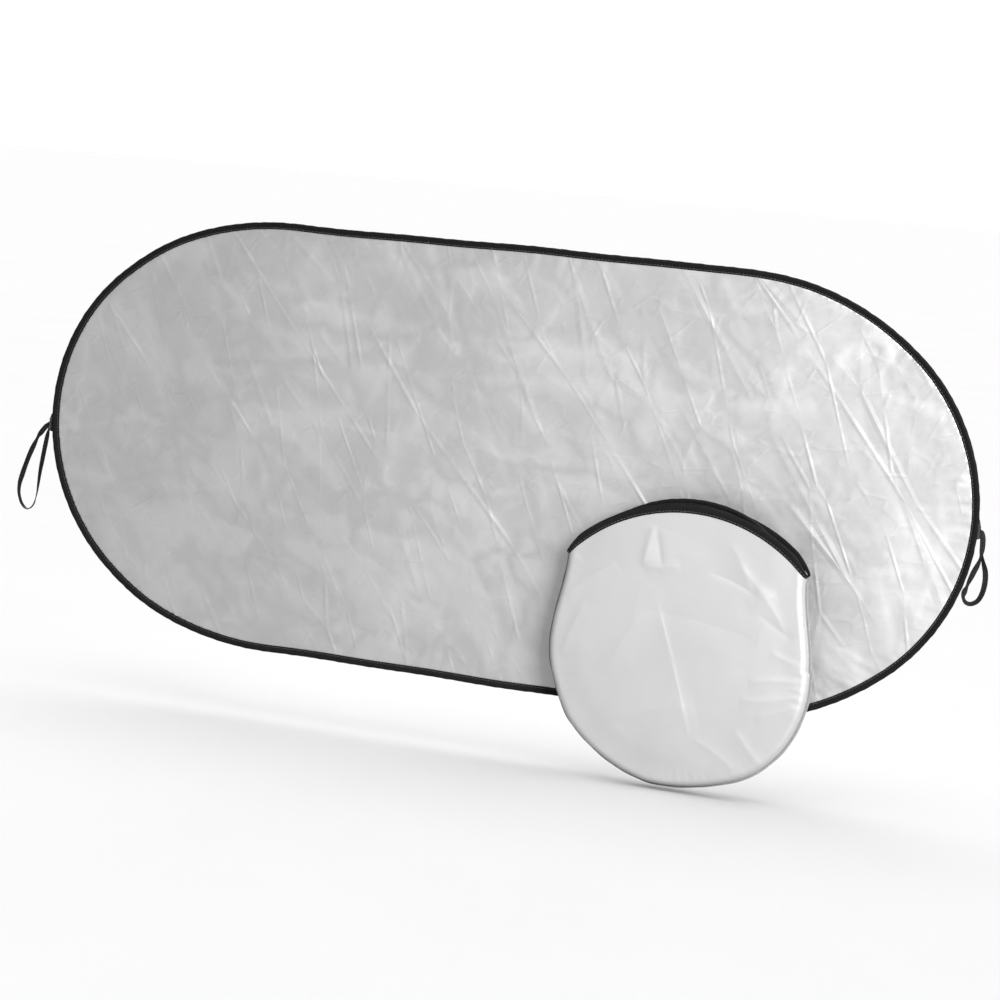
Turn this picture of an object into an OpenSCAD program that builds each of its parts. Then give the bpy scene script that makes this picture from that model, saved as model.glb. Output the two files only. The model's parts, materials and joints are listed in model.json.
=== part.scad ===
// Pop-up reflector panel with its pouch.
// An oval sheet of silvered cloth is stretched inside a hoop of flat spring steel, which
// runs in a bound edge. An elastic loop hangs at each end. In front of it stands the round
// pouch, with a second reflector twisted into three loops inside it.
// The panel stands in the XZ plane and faces -Y. The origin is the panel's centre, which is
// midway between the two places where the loops are sewn on.

/* [Panel] */
// Length of the open panel
panel_length = 1100; // [1000:10:1200]
// Height of the open panel
panel_height = 500; // [460:10:540]
// Radius of the flatter curve at each shoulder
shoulder_radius = 340; // [320:5:400]
// Sweep of each shoulder curve, in degrees
shoulder_sweep = 40; // [25:1:45]
// Thickness of the silvered cloth
cloth_thickness = 0.4; // [0.3:0.05:0.45]

/* [Edge binding] */
// Width of the binding, from the outer edge to its sewn edge
binding_width = 8; // [7.5:0.5:12]
// Thickness of the bound edge, where the band runs in it
binding_thickness = 5.8; // [5.6:0.1:7]
// Thickness of the binding at its sewn edge
binding_hem = 1.8; // [1.6:0.1:2.4]
// Thickness of the binding tape
tape = 0.6; // [0.5:0.05:0.65]
// Width of the sewing thread
thread = 0.7; // [0.4:0.1:0.8]

/* [Spring band] */
// Width of the flat steel band, across the panel's face
band_width = 4; // [3:0.25:4.2]
// Thickness of the flat steel band
band_thickness = 0.8; // [0.5:0.05:0.85]
// Length of the sleeve that joins the band's two ends
sleeve_length = 40; // [20:5:60]

/* [Hanging loops] */
// Width of the elastic
elastic_width = 6; // [4:0.5:8]
// Thickness of one strand of the elastic
elastic_thickness = 1.6; // [1:0.1:2]
// Length of the left loop below its neck
left_loop_length = 92; // [80:1:120]
// Length of the left loop's neck, where its strands lie together
left_neck_length = 6; // [5:1:12]
// Lean of the left loop away from the panel, in degrees
left_loop_lean = 12; // [5:1:20]
// Length of the right loop below its neck
right_loop_length = 60; // [45:1:80]
// Length of the right loop's neck, where its strands lie together
right_neck_length = 18; // [10:1:30]
// Outer radius of each loop's bight
bight_radius = 12; // [9:0.5:16]

/* [Pouch] */
// Distance of the pouch to the right of the panel's centre
pouch_right = 246; // [200:1:300]
// Distance of the pouch's centre below the panel's centre
pouch_drop = 178; // [150:1:220]
// Distance of the pouch's middle in front of the panel's middle
pouch_forward = 34; // [30:1:60]
// Half the width of the pouch
pouch_radius = 146; // [143:1:160]
// Half the thickness of the filled pouch
pouch_half_depth = 11; // [10.8:0.1:16]
// Thickness of the pouch's cloth
pouch_cloth = 0.5; // [0.3:0.1:0.6]
// Height of the mouth's corners above the pouch's centre
mouth_corner = 100; // [80:1:110]
// Height of the middle of the mouth above the pouch's centre
mouth_middle = 160; // [150:1:166]
// Width of the mouth's binding
mouth_binding = 9; // [7:0.5:12]

/* [Folded reflector] */
// Outer radius of each loop of the folded reflector
fold_radius = 139.5; // [130:0.5:140]
// Distance between one loop and the next
fold_pitch = 6.2; // [6:0.1:6.3]
// Height of the front loop's centre above the pouch's centre
fold_rise = 26; // [10:1:30]
// Further rise of each loop behind the front one
fold_step = 4; // [0:1:5]
// Thickness of each crumpled layer of cloth
fold_cloth = 4; // [2:0.5:5.5]

/* [Hidden] */
$fn = 96;

silver = [0.80, 0.81, 0.82];
pouch_silver = [0.86, 0.87, 0.88];
charcoal = [0.12, 0.12, 0.13];
elastic_black = [0.05, 0.05, 0.05];
steel = [0.55, 0.56, 0.58];

// Small clearance between pieces that don't touch
gap = 0.3;
half_height = panel_height / 2;
// The end of the panel is one tighter arc between the two shoulder arcs
end_radius = shoulder_radius - (shoulder_radius - half_height) / cos(shoulder_sweep);
end_centre = panel_length / 2 - end_radius;
shoulder_x = end_centre - (shoulder_radius - end_radius) * sin(shoulder_sweep);
shoulder_y = half_height - shoulder_radius;

// Depth of the seat that the band runs in, and of the slot that the cloth is sewn into
band_seat = 2;
cloth_slot = 5;
cloth_inset = cloth_slot + gap;
full_thickness_depth = 3;
edge_bevel = 0.6;

// Each loop's tack is a block of folded elastic sewn to the bound edge
tack_thickness = 3.2;
tack_height = 22;
root_x = panel_length / 2 + tack_thickness + elastic_thickness + gap / 2;
left_root_z = -18;
right_root_z = -8;

sleeve_x = 60;
stitch_height = 0.5;
stitch_inset = 1.5;
round_radius = pouch_half_depth;
seam_width = 2.5;
seam_thickness = 1.6;
// The mouth's edge is an arc through its two corners and its middle
mouth_sagitta = mouth_middle - mouth_corner;
mouth_arc = (pow(pouch_radius, 2) + pow(mouth_sagitta, 2)) / (2 * mouth_sagitta);
binding_cloth_lap = 0.4;

// ---------- placing ----------

// Stands a shape that was drawn flat: its Y becomes up and its Z comes forward
module upright() {
    rotate([90, 0, 0]) children();
}

// Moves a flat-drawn shape to the pouch's centre and stands it up
module at_pouch() {
    translate([pouch_right, -pouch_forward, -pouch_drop]) upright() children();
}

module left_side() {
    mirror([1, 0, 0]) children();
}

// ---------- the panel's outline ----------

// Carries a section round the right half of the outline. The section's X is the distance
// inwards from the outline, and its Y is the distance in front of the panel's middle.
module along_right_half() {
    straight = shoulder_x - gap;
    end_start = shoulder_sweep - 90;
    end_sweep = 180 - 2 * shoulder_sweep;
    translate([gap, half_height, 0]) rotate([90, 0, 90]) linear_extrude(straight)
        mirror([1, 0]) children();
    translate([gap, -half_height, 0]) rotate([90, 0, 90]) linear_extrude(straight)
        children();
    outline_arc(shoulder_x, shoulder_y, shoulder_radius, -end_start, shoulder_sweep)
        children();
    outline_arc(end_centre, 0, end_radius, end_start, end_sweep) children();
    outline_arc(shoulder_x, -shoulder_y, shoulder_radius, -90, shoulder_sweep) children();
}

module outline_arc(x, y, radius, start, sweep) {
    translate([x, y, 0]) rotate([0, 0, start]) rotate_extrude(angle = sweep, $fn = 240)
        translate([radius, 0]) mirror([1, 0]) children();
}

// The right half of the panel's flat shape, drawn in by an inset
module right_half_shape(inset) {
    tangent_x = end_centre + (end_radius - inset) * sin(shoulder_sweep);
    translate([gap, inset - half_height])
        square([shoulder_x - gap, panel_height - 2 * inset]);
    intersection() {
        translate([shoulder_x, shoulder_y]) circle(shoulder_radius - inset, $fn = 240);
        translate([shoulder_x, -shoulder_y]) circle(shoulder_radius - inset, $fn = 240);
        translate([shoulder_x, -half_height]) square([tangent_x - shoulder_x, panel_height]);
    }
    translate([end_centre, 0]) circle(end_radius - inset, $fn = 240);
}

// ---------- sections of the bound edge ----------

module binding_outline() {
    full = binding_thickness / 2;
    hem = binding_hem / 2;
    polygon([
        [0, full - edge_bevel], [edge_bevel, full], [full_thickness_depth, full],
        [binding_width, hem], [binding_width, -hem],
        [full_thickness_depth, -full], [edge_bevel, -full], [0, edge_bevel - full]
    ]);
}

module binding_section() {
    seat = binding_thickness - 2 * tape;
    slot = cloth_thickness + 0.1;
    difference() {
        binding_outline();
        translate([tape, -seat / 2]) square([band_seat, seat]);
        translate([cloth_slot, -slot / 2]) square([binding_width, slot]);
    }
}

// The section of a strip of the band's size, grown evenly all round
module band_section(growth) {
    centre = tape + band_seat / 2;
    translate([centre, 0])
        square([band_thickness + 2 * growth, band_width + 2 * growth], center = true);
}

// Two lines of thread, one on each face of the binding
module stitch_section() {
    inset = binding_width - stitch_inset;
    slope = (binding_thickness - binding_hem) / 2 / (binding_width - full_thickness_depth);
    face = binding_hem / 2 + slope * stitch_inset;
    for (side = [1, -1])
        translate([inset, side * face]) square([thread, stitch_height], center = true);
}

// ---------- the open panel ----------

module spring_band_right() {
    color(steel) upright() difference() {
        along_right_half() band_section(0);
        translate([sleeve_x, -half_height, 0]) cube([1, 20, 20], center = true);
    }
}

module spring_band_left() {
    color(steel) left_side() upright() along_right_half() band_section(0);
}

// The sleeve that joins the band's two ends, on the lower edge
module band_sleeve() {
    color(steel) upright()
        translate([sleeve_x - sleeve_length / 2, -half_height, 0]) rotate([90, 0, 90])
        linear_extrude(sleeve_length) difference() {
            band_section(0.25);
            band_section(0.05);
        }
}

module reflector_cloth_right() {
    color(silver) upright() linear_extrude(cloth_thickness, center = true)
        right_half_shape(cloth_inset);
}

module reflector_cloth_left() {
    left_side() reflector_cloth_right();
}

module edge_binding_right() {
    color(charcoal) upright() along_right_half() binding_section();
}

module edge_binding_left() {
    left_side() edge_binding_right();
}

module edge_stitching_right() {
    color(charcoal) upright() along_right_half() stitch_section();
}

module edge_stitching_left() {
    left_side() edge_stitching_right();
}

// ---------- the hanging loops ----------

// A block of folded elastic sewn to the outer edge at the end of the panel
module loop_tack(root_z) {
    color(elastic_black)
        translate([panel_length / 2 - edge_bevel, -elastic_width / 2, root_z - tack_height / 4])
        cube([tack_thickness + edge_bevel, elastic_width, tack_height]);
}

// A drop-shaped outline: a round bight below, drawn up to a point at the root
module drop(radius, reach) {
    touch = acos(radius / reach);
    shoulder = radius - 0.005;
    translate([0, -reach]) circle(radius);
    polygon([
        [0, 0],
        [shoulder * sin(touch), shoulder * cos(touch) - reach],
        [-shoulder * sin(touch), shoulder * cos(touch) - reach]
    ]);
}

// One loop of elastic, hanging from its root, with its eye facing forward. Its strands lie
// together down the neck, and open into a drop below it.
module elastic_loop(neck, length) {
    neck_width = 2 * elastic_thickness;
    reach = length + neck_width - bight_radius;
    inner_radius = bight_radius - elastic_thickness;
    inner_reach = reach * inner_radius / bight_radius;
    color(elastic_black) upright() {
        translate([-neck_width / 2, -neck, -elastic_width / 2])
            cube([neck_width, neck, elastic_width]);
        translate([0, neck_width - neck, 0])
            linear_extrude(elastic_width, center = true) difference() {
                drop(bight_radius, reach);
                translate([0, inner_reach - reach]) drop(inner_radius, inner_reach);
            }
    }
}

module left_loop_tack() {
    left_side() loop_tack(left_root_z);
}

module left_loop() {
    translate([-root_x, 0, left_root_z]) rotate([0, left_loop_lean, 0])
        elastic_loop(left_neck_length, left_loop_length);
}

module right_loop_tack() {
    loop_tack(right_root_z);
}

module right_loop() {
    translate([root_x, 0, right_root_z])
        elastic_loop(right_neck_length, right_loop_length);
}

// ---------- the pouch ----------

// The filled pouch's front half, as a solid drawn in by an inset: a flat face whose sides
// roll back to the seam, round below and straight above
module pouch_half(inset) {
    rotate([0, 0, 180]) rotate_extrude(angle = 180) pouch_section(inset);
    for (side = [0, 1])
        mirror([side, 0, 0]) rotate([90, 0, 0]) mirror([0, 0, 1])
            linear_extrude(mouth_middle + 2 * mouth_binding) pouch_section(inset);
}

module pouch_section(inset) {
    core = pouch_radius - round_radius;
    square([core, pouch_half_depth - inset]);
    translate([core, 0]) intersection() {
        circle(round_radius - inset);
        square(round_radius);
    }
}

// Everything below the mouth's arc, raised by a height
module below_mouth(height) {
    depth = 4 * pouch_half_depth;
    translate([0, mouth_middle - mouth_arc + height, -depth / 2])
        cylinder(h = depth, r = mouth_arc, $fn = 240);
}

module pouch_face() {
    intersection() {
        difference() {
            pouch_half(0);
            translate([0, 0, -gap]) pouch_half(pouch_cloth);
            pouch_half(pouch_cloth);
        }
        below_mouth(0);
    }
}

// The binding of one edge of the mouth, thicker than the cloth that ends in it
module mouth_edge() {
    difference() {
        intersection() {
            difference() {
                pouch_half(-binding_cloth_lap);
                translate([0, 0, -gap]) pouch_half(pouch_cloth + binding_cloth_lap);
                pouch_half(pouch_cloth + binding_cloth_lap);
            }
            below_mouth(mouth_binding);
        }
        below_mouth(0);
    }
}

// The line of thread along one edge of the mouth, low on its binding
module mouth_thread() {
    proud = binding_cloth_lap + stitch_height / 2;
    difference() {
        intersection() {
            difference() {
                pouch_half(-proud);
                translate([0, 0, -gap]) pouch_half(-binding_cloth_lap);
                pouch_half(-binding_cloth_lap);
            }
            below_mouth(stitch_inset + thread);
        }
        below_mouth(stitch_inset);
    }
}

module pouch_front() {
    color(pouch_silver) at_pouch() pouch_face();
}

module pouch_back() {
    color(pouch_silver) at_pouch() mirror([0, 0, 1]) pouch_face();
}

// The seam allowance that stands out round the sides and the bottom
module pouch_seam() {
    low = seam_thickness / 2;
    color(pouch_silver) at_pouch() {
        rotate([0, 0, 180]) rotate_extrude(angle = 180)
            translate([pouch_radius, -low]) square([seam_width, seam_thickness]);
        for (side = [0, 1])
            mirror([side, 0, 0]) translate([pouch_radius, 0, -low])
                cube([seam_width, mouth_corner + mouth_binding / 2, seam_thickness]);
    }
}

module mouth_binding_front() {
    color(charcoal) at_pouch() mouth_edge();
}

module mouth_binding_back() {
    color(charcoal) at_pouch() mirror([0, 0, 1]) mouth_edge();
}

module mouth_stitching_front() {
    color(charcoal) at_pouch() mouth_thread();
}

module mouth_stitching_back() {
    color(charcoal) at_pouch() mirror([0, 0, 1]) mouth_thread();
}

// ---------- the folded reflector in the pouch ----------

// Places one loop of the fold: 0 is the front loop, 1 the middle and 2 the back
module fold_layer(layer) {
    at_pouch() translate([0, fold_rise + layer * fold_step, (1 - layer) * fold_pitch])
        children();
}

module folded_binding(layer) {
    color(charcoal) fold_layer(layer) rotate_extrude($fn = 240)
        translate([fold_radius, 0]) mirror([1, 0]) binding_section();
}

module folded_band(layer) {
    color(steel) fold_layer(layer) rotate_extrude($fn = 240)
        translate([fold_radius, 0]) mirror([1, 0]) band_section(0);
}

module folded_cloth(layer) {
    color(silver) fold_layer(layer)
        cylinder(h = fold_cloth, r = fold_radius - binding_width - gap, center = true, $fn = 240);
}

spring_band_left();
spring_band_right();
band_sleeve();
reflector_cloth_left();
reflector_cloth_right();
edge_binding_left();
edge_binding_right();
edge_stitching_left();
edge_stitching_right();
left_loop_tack();
left_loop();
right_loop_tack();
right_loop();
pouch_front();
pouch_back();
pouch_seam();
mouth_binding_front();
mouth_binding_back();
mouth_stitching_front();
mouth_stitching_back();
folded_binding(0);  // folded_binding_front
folded_binding(1);  // folded_binding_middle
folded_binding(2);  // folded_binding_back
folded_band(0);  // folded_band_front
folded_band(1);  // folded_band_middle
folded_band(2);  // folded_band_back
folded_cloth(0);  // folded_cloth_front
folded_cloth(1);  // folded_cloth_middle
folded_cloth(2);  // folded_cloth_back
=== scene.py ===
import json
import math

import bpy
import numpy as np
from mathutils import Matrix, Vector


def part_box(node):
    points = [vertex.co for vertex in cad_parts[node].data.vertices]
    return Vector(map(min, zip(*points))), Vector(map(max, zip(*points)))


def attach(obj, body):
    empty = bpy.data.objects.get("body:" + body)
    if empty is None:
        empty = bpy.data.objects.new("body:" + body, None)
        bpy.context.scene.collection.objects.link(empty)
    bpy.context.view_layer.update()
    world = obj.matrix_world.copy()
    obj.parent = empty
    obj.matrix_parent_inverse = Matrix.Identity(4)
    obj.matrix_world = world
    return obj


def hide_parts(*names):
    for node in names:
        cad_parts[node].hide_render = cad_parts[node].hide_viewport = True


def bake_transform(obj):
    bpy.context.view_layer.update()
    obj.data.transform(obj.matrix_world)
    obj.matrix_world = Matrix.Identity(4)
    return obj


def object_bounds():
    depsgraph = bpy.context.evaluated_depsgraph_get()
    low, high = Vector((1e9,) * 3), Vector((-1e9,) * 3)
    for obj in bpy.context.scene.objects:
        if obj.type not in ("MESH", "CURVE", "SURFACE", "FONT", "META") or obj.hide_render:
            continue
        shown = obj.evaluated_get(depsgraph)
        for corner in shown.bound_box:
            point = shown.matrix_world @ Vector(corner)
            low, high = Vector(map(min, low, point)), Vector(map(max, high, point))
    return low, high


# The looks of a pop-up reflector panel and its pouch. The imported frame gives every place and
# joint. Everything is in metres: X runs along the panel, -Y is its front and Z is up.

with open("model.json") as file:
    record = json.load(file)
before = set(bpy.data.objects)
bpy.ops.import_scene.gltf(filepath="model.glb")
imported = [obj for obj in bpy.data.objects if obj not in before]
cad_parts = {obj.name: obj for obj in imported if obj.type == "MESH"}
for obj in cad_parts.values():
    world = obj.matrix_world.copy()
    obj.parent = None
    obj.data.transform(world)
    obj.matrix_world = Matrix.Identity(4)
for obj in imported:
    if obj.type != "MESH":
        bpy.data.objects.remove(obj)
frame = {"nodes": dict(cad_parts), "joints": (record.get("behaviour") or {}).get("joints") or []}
cad_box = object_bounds()
MM = 0.001
JOINTS = {joint["name"]: joint for joint in frame["joints"]}

# ---------- sizes that the frame gives ----------

PANEL_HIGH = np.array(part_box("edge_binding_right")[1])
HALF_LENGTH = PANEL_HIGH[0]
HALF_HEIGHT = PANEL_HIGH[2]
POUCH_LOW = np.array(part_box("pouch_front")[0])
POUCH_HIGH = np.array(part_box("pouch_back")[1])
POUCH_RADIUS = (POUCH_HIGH[0] - POUCH_LOW[0]) / 2
POUCH_CENTRE = np.array([
    (POUCH_LOW[0] + POUCH_HIGH[0]) / 2,
    (POUCH_LOW[1] + POUCH_HIGH[1]) / 2,
    POUCH_LOW[2] + POUCH_RADIUS,
])
POUCH_DEPTH = (POUCH_HIGH[1] - POUCH_LOW[1]) / 2
POUCH_FULL = POUCH_DEPTH + 0.7 * MM
MOUTH_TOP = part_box("mouth_binding_front")[1][2] - POUCH_CENTRE[2]

# ---------- sizes of the looks ----------

SHOULDER_RADIUS = 340 * MM
SHOULDER_SWEEP = math.radians(40)
CLOTH_THICKNESS = 0.35 * MM
CLOTH_STEP = 3.1 * MM
CLOTH_EDGE = 5.0 * MM
HEM = 8.0 * MM
RIM_STEP = 2.0 * MM
STITCH_PITCH = 4.0 * MM
STITCH_LENGTH = 3.1 * MM
STITCH_RADIUS = 0.3 * MM
STITCH_INSET = 6.5 * MM
ELASTIC_WIDTH = 6.0 * MM
ELASTIC_THICKNESS = 1.2 * MM
# The panel's ends stand a little taller than its plain outline
END_FULLNESS = 0.022
FULLNESS_START = 260 * MM
FULLNESS_FULL = 440 * MM
CREASE_DEPTH = 0.68
SWELL_DEPTH = 0.7
TACK_TAPER = 0.62
TACK_STITCHES = 15

MOUTH_BINDING = 9.0 * MM
MOUTH_CORNER = 100 * MM
CORNER_HALF_WIDTH = 133 * MM
MOUTH_TILT = 0.026

seed = np.random.default_rng(1907)


def smooth(value, low, high):
    t = np.clip((value - low) / (high - low), 0, 1)
    return t * t * (3 - 2 * t)


def unit(vectors):
    """The same directions, each of length one."""
    return vectors / np.linalg.norm(vectors, axis=1, keepdims=True)


def path_length(points):
    """Distance along a path at each of its points."""
    return np.concatenate([[0], np.cumsum(np.linalg.norm(np.diff(points, axis=0), axis=1))])


def full_turn(count):
    """Even angles round a circle."""
    return np.arange(count) / count * 2 * math.pi


def blunt(wave, power):
    """A wave with squared-off swings."""
    return np.sign(wave) * np.abs(wave) ** power


def forward_at(count):
    """The panel's forward direction at each of a number of points."""
    return np.tile([0.0, -1.0, 0.0], (count, 1))


def both_faces(half):
    """A closed section from its front half."""
    return np.concatenate([half, (half * (1, -1))[::-1]])


# ---------- meshes ----------

def signed_volume(points, quads):
    """Six times the volume inside a closed mesh, negative when it is inside out."""
    a, b, c, d = (points[quads[:, k]] for k in range(4))
    return float((a * (np.cross(b, c) + np.cross(c, d))).sum())


def make_piece(name, points, quads, uv=None, wear=None):
    """A smooth-shaded mesh object made of quads."""
    mesh = bpy.data.meshes.new(name)
    if signed_volume(points, quads) < 0:
        quads = quads[:, ::-1]
    points = np.asarray(points, np.float32)
    quads = np.asarray(quads, np.int32)
    mesh.vertices.add(len(points))
    mesh.vertices.foreach_set("co", points.ravel())
    mesh.loops.add(quads.size)
    mesh.loops.foreach_set("vertex_index", quads.ravel())
    mesh.polygons.add(len(quads))
    mesh.polygons.foreach_set("loop_start", np.arange(0, quads.size, 4, dtype=np.int32))
    if uv is not None:
        layer = mesh.uv_layers.new(name="cloth")
        layer.data.foreach_set("uv", np.asarray(uv, np.float32)[quads.ravel()].ravel())
    if wear is not None:
        attribute = mesh.attributes.new("wear", "FLOAT", "POINT")
        attribute.data.foreach_set("value", np.asarray(wear, np.float32))
    mesh.update(calc_edges=True)
    mesh.validate()
    mesh.shade_smooth()
    piece = bpy.data.objects.new(name, mesh)
    bpy.context.scene.collection.objects.link(piece)
    return piece


def grid_quads(rows, columns, close_rows=False, close_columns=False):
    """Quads between neighbouring points of a grid that is stored row by row."""
    i = np.arange(rows if close_rows else rows - 1)
    j = np.arange(columns if close_columns else columns - 1)
    i, j = np.meshgrid(i, j, indexing="ij")
    near, far = (i + 1) % rows, (j + 1) % columns
    corners = [i * columns + j, i * columns + far, near * columns + far, near * columns + j]
    return np.stack(corners, -1).reshape(-1, 4)


def border(quads):
    """The directed edges that only one quad has."""
    edges = np.concatenate([quads[:, [k, (k + 1) % 4]] for k in range(4)])
    keys = np.sort(edges, axis=1)
    _, first, count = np.unique(keys, axis=0, return_index=True, return_counts=True)
    return edges[first[count == 1]]


def vertex_normals(points, quads):
    a, b, c, d = (points[quads[:, k]] for k in range(4))
    face = np.cross(c - a, d - b)
    normals = np.zeros_like(points)
    for k in range(4):
        np.add.at(normals, quads[:, k], face)
    return normals / np.maximum(np.linalg.norm(normals, axis=1, keepdims=True), 1e-12)


def closed_sheet(points, quads, thickness):
    """A sheet given a real thickness: both faces and the narrow edge between them."""
    normals = vertex_normals(points, quads)
    count = len(points)
    both = np.concatenate([points + normals * thickness / 2, points - normals * thickness / 2])
    edge = border(quads)
    sides = np.stack([edge[:, 1], edge[:, 0], edge[:, 0] + count, edge[:, 1] + count], -1)
    return both, np.concatenate([quads, quads[:, ::-1] + count, sides])


def make_cloth(name, points, quads, x, z, wear=None):
    """A sheet given its thickness. Its x and z as it was cut place its texture."""
    both, closed = closed_sheet(points, quads, CLOTH_THICKNESS)
    return make_piece(name, both, closed, np.tile(np.stack([x, z], -1), (2, 1)), wear)


def sweep(name, centres, outward, forward, sections, closed=True, lengthwise=None):
    """Carries a closed section along a path. A section's first number is the distance inwards
    from the path and its second the distance forward."""
    rings, around = len(centres), sections.shape[-2]
    sections = np.broadcast_to(sections, (rings, around, 2))
    points = (
        centres[:, None]
        - outward[:, None] * sections[..., :1]
        + forward[:, None] * sections[..., 1:]
    ).reshape(-1, 3)
    quads = grid_quads(rings, around, close_rows=closed, close_columns=True)
    if not closed:
        quads = np.concatenate([quads, end_caps(rings, around)])
    if lengthwise is None:
        lengthwise = path_length(centres)
    across = np.arange(around) / around * 16 * MM
    uv = np.stack(np.broadcast_arrays(lengthwise[:, None], across[None]), -1).reshape(-1, 2)
    return make_piece(name, points, quads, uv)


def end_caps(rings, around):
    """Quads that close both ends of an open sweep with an even number of points around."""
    half = around // 2
    strip = [(k, k + 1, around - 2 - k, around - 1 - k) for k in range(half - 1)]
    last = np.array(strip) + (rings - 1) * around
    return np.concatenate([np.array(strip)[:, ::-1], last])


def join_shapes(points, quads, count):
    """Quads for many copies of one shape whose points are stacked copy by copy."""
    offsets = np.arange(count)[:, None, None] * points
    return (np.asarray(quads)[None] + offsets).reshape(-1, 4)


# ---------- the panel's outline ----------

END_RADIUS = SHOULDER_RADIUS - (SHOULDER_RADIUS - HALF_HEIGHT) / math.cos(SHOULDER_SWEEP)
END_X = HALF_LENGTH - END_RADIUS
SHOULDER_X = END_X - (SHOULDER_RADIUS - END_RADIUS) * math.sin(SHOULDER_SWEEP)
SHOULDER_Z = HALF_HEIGHT - SHOULDER_RADIUS
SHOULDER_ARC = SHOULDER_RADIUS * SHOULDER_SWEEP
QUARTER = SHOULDER_X + SHOULDER_ARC + END_RADIUS * (math.pi / 2 - SHOULDER_SWEEP)
PERIMETER = 4 * QUARTER


def outline(arc):
    """Points and outward directions in (x, z) at distances round the panel's edge, clockwise
    from the top's middle."""
    quarter = np.floor_divide(arc, QUARTER).astype(int) % 4
    along = np.mod(arc, QUARTER)
    along = np.where(quarter % 2 == 1, QUARTER - along, along)
    shoulder = np.clip(along - SHOULDER_X, 0, SHOULDER_ARC) / SHOULDER_RADIUS
    turn = shoulder + np.maximum(along - SHOULDER_X - SHOULDER_ARC, 0) / END_RADIUS
    on_end = along > SHOULDER_X + SHOULDER_ARC
    on_straight = along < SHOULDER_X
    radius = np.where(on_end, END_RADIUS, SHOULDER_RADIUS)
    x = np.where(on_end, END_X, SHOULDER_X) + radius * np.sin(turn)
    z = np.where(on_end, 0, SHOULDER_Z) + radius * np.cos(turn)
    x = np.where(on_straight, along, x)
    sign_x = np.where(quarter < 2, 1, -1)
    sign_z = np.where((quarter == 0) | (quarter == 3), 1, -1)
    points = np.stack([sign_x * x, sign_z * z], -1)
    outward = np.stack([sign_x * np.sin(turn), sign_z * np.cos(turn)], -1)
    return points, outward


def rim_distance(x, z):
    """Distance inwards from the panel's edge, and the outward direction there."""
    ax, az = np.abs(x), np.abs(z)
    from_shoulder = np.stack([ax - SHOULDER_X, az - SHOULDER_Z], -1)
    from_end = np.stack([ax - END_X, az], -1)
    angle = np.arctan2(from_shoulder[..., 0], from_shoulder[..., 1])
    reach_shoulder = np.linalg.norm(from_shoulder, axis=-1)
    reach_end = np.linalg.norm(from_end, axis=-1)
    straight = ax < SHOULDER_X
    on_shoulder = ~straight & (angle < SHOULDER_SWEEP)
    distance = np.where(on_shoulder, SHOULDER_RADIUS - reach_shoulder, END_RADIUS - reach_end)
    distance = np.where(straight, HALF_HEIGHT - az, distance)
    outward = np.where(
        on_shoulder[..., None],
        from_shoulder / np.maximum(reach_shoulder, 1e-9)[..., None],
        from_end / np.maximum(reach_end, 1e-9)[..., None],
    )
    outward[straight] = (0, 1)
    outward *= np.stack([np.where(x < 0, -1, 1), np.where(z < 0, -1, 1)], -1)
    return distance, outward


def settle(points):
    """The slight waves that the sprung hoop leaves in the open panel, and its fuller ends."""
    x, z = points[..., 0], points[..., 2]
    moved = points.copy()
    moved[..., 1] += 1.3 * MM * np.sin(11.3 * x + 0.8) * np.cos(7 * z)
    moved[..., 1] += 0.8 * MM * np.sin(23 * x - 9 * z)
    moved[..., 2] += 0.7 * MM * np.sin(17 * x + 1.2) * (z / HALF_HEIGHT)
    moved[..., 2] += 0.35 * MM * np.sin(41 * x + 0.4) * (z / HALF_HEIGHT)
    moved[..., 2] *= 1 + END_FULLNESS * smooth(np.abs(x), FULLNESS_START, FULLNESS_FULL)
    return moved


def along_rim(step):
    """Centres, outward and forward directions at even steps round the panel's edge."""
    count = round(PERIMETER / step)
    arc = (np.arange(count) + 0.5) * PERIMETER / count
    flat, out = outline(arc)
    centres = np.stack([flat[:, 0], np.zeros(count), flat[:, 1]], -1)
    outward = np.stack([out[:, 0], np.zeros(count), out[:, 1]], -1)
    forward = forward_at(count)
    return arc, centres, outward, forward


# ---------- creases ----------

def crease_height(x, z, creases):
    """Sharp-crested folds: each has a middle, a direction, a half length, a flank width on
    either side, a height and a bow."""
    height = np.zeros_like(x)
    for cx, cz, angle, half_length, width, other, rise, bow in creases:
        reach = half_length + 4 * max(width, other)
        dx, dz = x - cx, z - cz
        near = (np.abs(dx) < reach) & (np.abs(dz) < reach)
        dx, dz = dx[near], dz[near]
        t = (dx * math.cos(angle) + dz * math.sin(angle)) / half_length
        across = dz * math.cos(angle) - dx * math.sin(angle) - bow * half_length * (1 - t * t)
        fade = np.clip(1 - t ** 4, 0, 1)
        height[near] += rise * fade * np.exp(-np.abs(across) / np.where(across > 0, width, other))
    return height


def crease_angle():
    """Most creases lie on two slants, and some are nearly level."""
    kind = seed.random()
    if kind < 0.62:
        return math.radians(seed.normal(-54, 15))
    if kind < 0.78:
        return math.radians(seed.normal(68, 16))
    return math.radians(seed.normal(-9, 11))


def log_between(low, high):
    return math.exp(seed.uniform(math.log(low), math.log(high)))


def random_creases(count, low, high, lengths, widths, slopes, ramp=1.0):
    """Creases thrown over a box. A ramp above 1 makes one flank that much wider."""
    made = []
    for _ in range(count):
        cx, cz = seed.uniform(low[0], high[0]), seed.uniform(low[1], high[1])
        half_length = log_between(*lengths) / 2
        width = log_between(*widths)
        other = width * seed.uniform(1, ramp)
        if seed.random() < 0.5:
            width, other = other, width
        rise = min(width, other) * seed.uniform(*slopes) * seed.choice([-1, 1])
        angle = crease_angle()
        made.append((cx, cz, angle, half_length, width, other, rise, seed.normal(0, 0.04)))
    return made


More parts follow.
